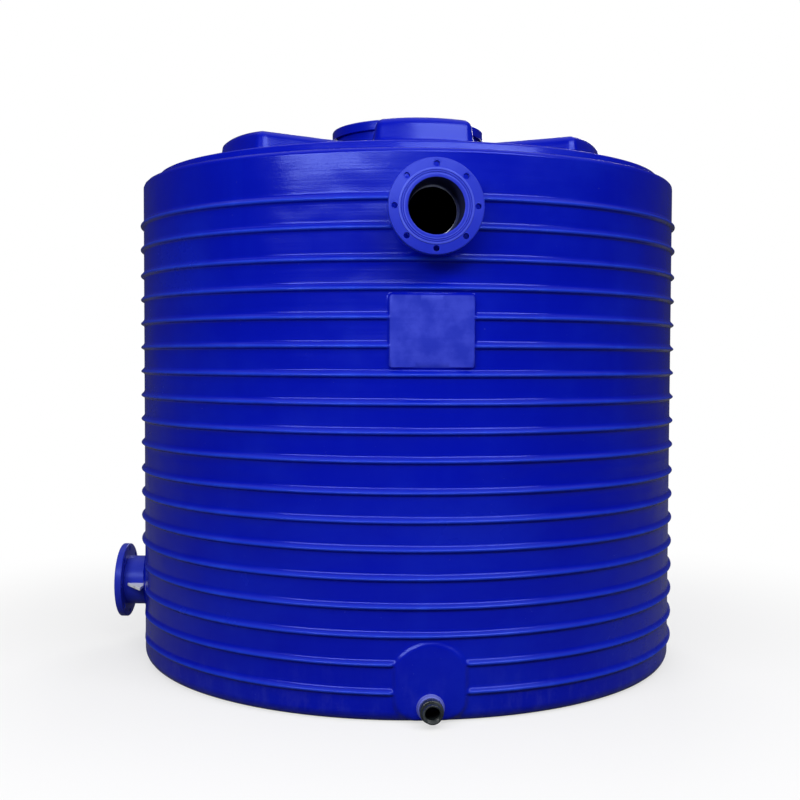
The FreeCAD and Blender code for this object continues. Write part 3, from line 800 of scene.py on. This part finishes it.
# Gasket: a flat ring of black rubber on the neck's rim. It is the source's own ring with a
# finish of its own.
def dark_moulding(name, colour, worn, gloss, grain):
    """Black rubber or plastic with a faint bloom and a fine grain."""
    material, tree = new_material(name)
    place = tree.add("ShaderNodeTexCoord", output="Object")
    bloom = tree.add("ShaderNodeTexNoise", {}, {"Vector": place, "Scale": 22.0, "Detail": 5.0,
                                                "Roughness": 0.65})
    fine = tree.add("ShaderNodeTexNoise", {}, {"Vector": place, "Scale": 420.0, "Detail": 2.0})
    skin = tree.mixed(bloom.fade(0.42, 0.75), colour, worn)
    bump = tree.add("ShaderNodeBump", {}, {"Strength": grain, "Distance": 0.0006, "Height": fine})
    shader = tree.add("ShaderNodeBsdfPrincipled", {}, {
        "Base Color": skin, "Roughness": gloss + 0.2 * bloom.fade(0.35, 0.8), "Normal": bump})
    tree.add("ShaderNodeOutputMaterial", {}, {"Surface": shader})
    return material


gasket_rubber = dark_moulding("gasket_rubber", rgb(0.018, 0.018, 0.018), rgb(0.05, 0.05, 0.05),
                              0.6, 0.3)
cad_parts["manhole_gasket"].data.materials.clear()
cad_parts["manhole_gasket"].data.materials.append(gasket_rubber)


# Flanged pipes: a length of thick polyethylene pipe through the wall with a flat flange ring
# welded on, turned with sealing rings on its raised face and drilled for eight bolts.
PIPE_BORE = 0.100
PIPE_LIP = 0.0900
PIPE_RADIUS = 0.1125
PIPE_BACK = 1.175
FLANGE_FACE = 1.342
BOLT_FACE = 1.339
FLANGE_BACK = 1.308
FLANGE_RADIUS = 0.170
FACE_RADIUS = 0.133
BOLT_CIRCLE = 0.1475
BOLT_HOLE = 0.011
BOLTS = 8
SEALING_RINGS = (0.1180, 0.1250)


def lit_lip(tree, place, noise):
    """The pipe's inner end inside the wall, painted pale as a lit ring at the back of the shaded
    bore.
    """
    across, along, up = tree.parts(place)
    out = (across * across + along * along).math("SQRT")
    return out.fade(1.1845, 1.1825), LIT_LIP_BLUE, 0.5


# painted light: the pale ring at the far end of the bore
LIT_LIP_BLUE = rgb(0.72, 0.78, 0.90)
# the flange's third colour is a painted highlight on the rings of its raised face
flange_skin = blue_polyethylene("flange_skin", rgb(0.014, 0.026, 0.46), rgb(0.045, 0.065, 0.60),
                                rgb(0.11, 0.15, 0.74), 0.30, 0.04)
# painted shade: the bore is painted near black for the shade inside it, with a painted lit ring at
# its far end
bore_shade_and_lit_lip = blue_polyethylene("bore_shade_and_lit_lip", rgb(0.012, 0.014, 0.055), rgb(0.03, 0.035, 0.10),
                              rgb(0.17, 0.22, 0.80), 0.45, 0.04, lit_lip)


def place_fitting(piece, toward, height):
    """Lays a piece's Z along a pipe's axis: out of the wall, turned from the front to the left."""
    piece.data.transform(Matrix.Translation((0, 0, height)) @ Matrix.Rotation(-toward, 4, "Z")
                         @ Matrix.Rotation(math.radians(90), 4, "X"))
    return piece


FLANGE_SIZES = {"Bolt Circle": BOLT_CIRCLE, "Bolt Hole": BOLT_HOLE}
tree, size, start = rule("drilled_flange", FLANGE_SIZES)
ring = tree.add("GeometryNodeMeshCircle", {}, {"Vertices": BOLTS, "Radius": size["Bolt Circle"]})
ring = tree.add("GeometryNodeTransform", {}, {"Geometry": ring,
                                              "Translation": (0.0, 0.0, BOLT_FACE - 0.016)})
drill = tree.add("GeometryNodeMeshCylinder", {"fill_type": "NGON"},
                 {"Vertices": 28, "Radius": size["Bolt Hole"], "Depth": 0.06})
drills = tree.add("GeometryNodeInstanceOnPoints", {}, {"Points": ring, "Instance": drill})
drills = tree.add("GeometryNodeRealizeInstances", {}, {"Geometry": drills})
drilled = tree.add("GeometryNodeMeshBoolean", {"operation": "DIFFERENCE", "solver": "EXACT"},
                   {"Mesh 1": start, "Mesh 2": drills})
across, along, up = tree.parts(tree.add("GeometryNodeInputPosition"))
out = (across * across + along * along).math("SQRT")
ridges = up.math("GREATER_THAN", BOLT_FACE - 0.002)
# painted highlight: pale rings on the raised face's edge, its sealing rings and the pipe's end,
# where light catches them
ring_highlights = 0.0
for ridge in (FACE_RADIUS, *(groove + 0.003 for groove in SEALING_RINGS), PIPE_RADIUS):
    ring_highlights = ring_highlights + (out - ridge).math("ABSOLUTE").fade(0.0014, 0.0003)
drilled = with_painted_highlight(tree, drilled, ring_highlights * ridges)
finish_rule(tree, drilled, flange_skin)
FLANGE_BORE = PIPE_RADIUS - 0.0004
face_line = [(FLANGE_BORE, FLANGE_BACK, 0), (FLANGE_RADIUS, FLANGE_BACK, 0.003),
             (FLANGE_RADIUS, BOLT_FACE, 0.004), (FACE_RADIUS + 0.001, BOLT_FACE, 0.001),
             (FACE_RADIUS, FLANGE_FACE, 0.001)]
for groove in reversed(SEALING_RINGS):
    face_line += [(groove + 0.0022, FLANGE_FACE, 0), (groove + 0.0010, FLANGE_FACE - 0.0025, 0),
                  (groove - 0.0010, FLANGE_FACE - 0.0025, 0), (groove - 0.0022, FLANGE_FACE, 0)]
face_line += [(FLANGE_BORE, FLANGE_FACE, 0)]
PIPES = (("front", 0.0, FRONT_PIPE_HEIGHT), ("side", SIDE_TURN, SIDE_PIPE_HEIGHT))
for name, toward, height in PIPES:
    blank = turned(name + "_flange_blank", rounded(face_line, closed=True, steps=3), flange_skin)
    flange = drawn_by_rule(name + "_flange_ring", blank.data, tree, FLANGE_SIZES)
    bpy.data.objects.remove(blank)
    pipe = turned(name + "_pipe_length", rounded([
        (PIPE_LIP, PIPE_BACK, 0.001), (PIPE_RADIUS, PIPE_BACK, 0.001),
        (PIPE_RADIUS, FLANGE_FACE, 0.0005), (PIPE_BORE, FLANGE_FACE, 0.003),
        (PIPE_BORE, PIPE_BACK + 0.010, 0.001), (PIPE_LIP, PIPE_BACK + 0.006, 0.001)],
        closed=True, steps=3), flange_skin)
    pipe.data.materials.append(bore_shade_and_lit_lip)
    # the faces inside the bore take the painted shade
    for face in pipe.data.polygons:
        corners = [pipe.data.vertices[point].co for point in face.vertices]
        if max(math.hypot(corner.x, corner.y) for corner in corners) < PIPE_BORE + 0.001:
            face.material_index = 1
    for piece, node in ((flange, name + "_flange"), (pipe, name + "_pipe")):
        place_fitting(piece, toward, height)
        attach(piece, "tank")
        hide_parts(node)


# Weld beads: blue polyethylene run from a hand extruder round each pipe where it meets the wall,
# so the bead is a little uneven and has a fine ripple along it.
WELD_LEG = 0.014


def bead_ripple(number, angle):
    """How much the bead swells at an angle: its two points on the pipe stay where they are."""
    if number in (0, 1):
        return 0.0
    return (0.0006 * math.sin(58 * angle) + 0.0008 * math.sin(5 * angle + 1.0)
            + 0.0005 * math.sin(13 * angle))


for name, toward, height in PIPES:
    line = [(PIPE_RADIUS - 0.002, LAND_PLANE + WELD_LEG), (PIPE_RADIUS - 0.002, LAND_PLANE - 0.003),
            (PIPE_RADIUS + WELD_LEG - 0.001, LAND_PLANE - 0.003)]
    for step in range(7):
        slant = math.radians(90) * step / 6
        line.append((PIPE_RADIUS - 0.002 + (WELD_LEG + 0.0005) * math.cos(slant),
                     LAND_PLANE + (WELD_LEG - 0.0015) * math.sin(slant)))
    bead = turned(name + "_weld_bead", line, flange_skin, steps=360, ripple=bead_ripple)
    place_fitting(bead, toward, height)
    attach(bead, "tank")
    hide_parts(name + "_weld")


# Gussets: two flat triangles of bare off-white polyethylene, sawn from sheet, that brace the side
# pipe on the wall.
GUSSET_WIDTH = 0.115
GUSSET_REACH = 0.084
GUSSET_THICK = 0.012
SAWN_WHITE = rgb(0.86, 0.88, 0.94)
SOILED_WHITE = rgb(0.62, 0.64, 0.72)
gusset_skin, tree = new_material("gusset_skin")
place = tree.add("ShaderNodeTexCoord", output="Object")
blotch = tree.add("ShaderNodeTexNoise", {}, {"Vector": place, "Scale": 30.0, "Detail": 5.0})
saw = tree.add("ShaderNodeTexNoise", {}, {"Vector": tree.add("ShaderNodeMapping", {}, {
    "Vector": place, "Scale": (40.0, 40.0, 700.0)}), "Scale": 1.0, "Detail": 2.0})
shader = tree.add("ShaderNodeBsdfPrincipled", {}, {
    "Base Color": tree.mixed(blotch.fade(0.5, 0.8), SAWN_WHITE, SOILED_WHITE),
    "Roughness": 0.42 + 0.15 * blotch,
    "Normal": tree.add("ShaderNodeBump", {}, {
        "Strength": 0.25, "Distance": 0.0008, "Height": saw})})
tree.add("ShaderNodeOutputMaterial", {}, {"Surface": shader})
for node, side in (("side_gusset_near", -1), ("side_gusset_far", 1)):
    outline = [(PIPE_RADIUS - 0.001, LAND_PLANE + WELD_LEG - 0.002),
               (PIPE_RADIUS + WELD_LEG - 0.002, LAND_PLANE - 0.001),
               (PIPE_RADIUS + GUSSET_WIDTH - 0.002, LAND_PLANE - 0.001),
               (PIPE_RADIUS + GUSSET_WIDTH, LAND_PLANE + 0.004),
               (PIPE_RADIUS + 0.006, LAND_PLANE + GUSSET_REACH),
               (PIPE_RADIUS - 0.001, LAND_PLANE + GUSSET_REACH - 0.001)]
    plate = bmesh.new()
    corners = [plate.verts.new((side * across, -GUSSET_THICK / 2, out)) for across, out in outline]
    plate.faces.new(corners)
    thicken(plate, (0, GUSSET_THICK, 0))
    bmesh.ops.bevel(plate, geom=plate.edges, offset=0.0012, segments=2, affect="EDGES")
    gusset = bpy.data.objects.new(node.replace("side_", "side_pipe_"), bpy.data.meshes.new(node))
    plate.to_mesh(gusset.data)
    plate.free()
    gusset.data.materials.append(gusset_skin)
    bpy.context.scene.collection.objects.link(gusset)
    place_fitting(gusset, SIDE_TURN, SIDE_PIPE_HEIGHT)
    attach(gusset, "tank")
    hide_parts(node)


# Outlet: a two inch threaded socket of black polypropylene through the wall, drawn up by a round
# nut on a collar of the tank's own plastic.
COLLAR_RADIUS = 0.050
COLLAR_END = 1.226
NUT_RADIUS = 0.044
NUT_END = 1.260
SOCKET_RADIUS = 0.036
SOCKET_BORE = 0.02833
SOCKET_BACK = 1.170
SOCKET_END = 1.290
THREAD_PITCH = 0.00231
THREAD_DEPTH = 0.0012
THREADS = 14
MOUTH_BEVEL = 0.003
black_moulding = dark_moulding("black_moulding", rgb(0.014, 0.019, 0.021),
                               rgb(0.045, 0.054, 0.058), 0.24, 0.2)
collar_skin = blue_polyethylene("collar_skin", rgb(0.10, 0.12, 0.50), rgb(0.22, 0.24, 0.64),
                                rgb(0.22, 0.24, 0.64), 0.30, 0.05)
collar = turned("outlet_pad_collar", rounded([
    (SOCKET_RADIUS, LAND_PLANE - 0.003, 0), (COLLAR_RADIUS + 0.004, LAND_PLANE - 0.003, 0),
    (COLLAR_RADIUS, LAND_PLANE + 0.004, 0.003), (COLLAR_RADIUS - 0.001, COLLAR_END, 0.006),
    (SOCKET_RADIUS, COLLAR_END, 0)], closed=True), collar_skin, steps=72)
nut = turned("outlet_round_nut", rounded([
    (SOCKET_RADIUS, COLLAR_END, 0), (NUT_RADIUS, COLLAR_END, 0.003),
    (NUT_RADIUS, NUT_END, 0.005), (SOCKET_RADIUS, NUT_END, 0)],
    closed=True), black_moulding, steps=72)
thread = [(SOCKET_BORE, SOCKET_BACK)]
for turn_number in range(THREADS):
    root = SOCKET_END - MOUTH_BEVEL - THREAD_PITCH * (THREADS - turn_number)
    thread += [(SOCKET_BORE, root), (SOCKET_BORE + THREAD_DEPTH, root + THREAD_PITCH * 0.5)]
thread += [(SOCKET_BORE, SOCKET_END - MOUTH_BEVEL), (SOCKET_BORE + MOUTH_BEVEL, SOCKET_END)]
socket_line = thread + rounded([
    (SOCKET_BORE + MOUTH_BEVEL, SOCKET_END, 0), (SOCKET_RADIUS, SOCKET_END, 0.0025),
    (SOCKET_RADIUS, SOCKET_BACK, 0)])[1:]
mouth = turned("outlet_threaded_socket", socket_line, black_moulding, steps=72)
for piece, slot, node in ((collar, "tank_blue", "outlet_collar"),
                          (nut, "black_plastic", "outlet_nut"),
                          (mouth, "black_plastic", "outlet_socket")):
    place_fitting(piece, 0.0, OUTLET_HEIGHT)
    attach(piece, "tank")
    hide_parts(node)


low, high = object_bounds()
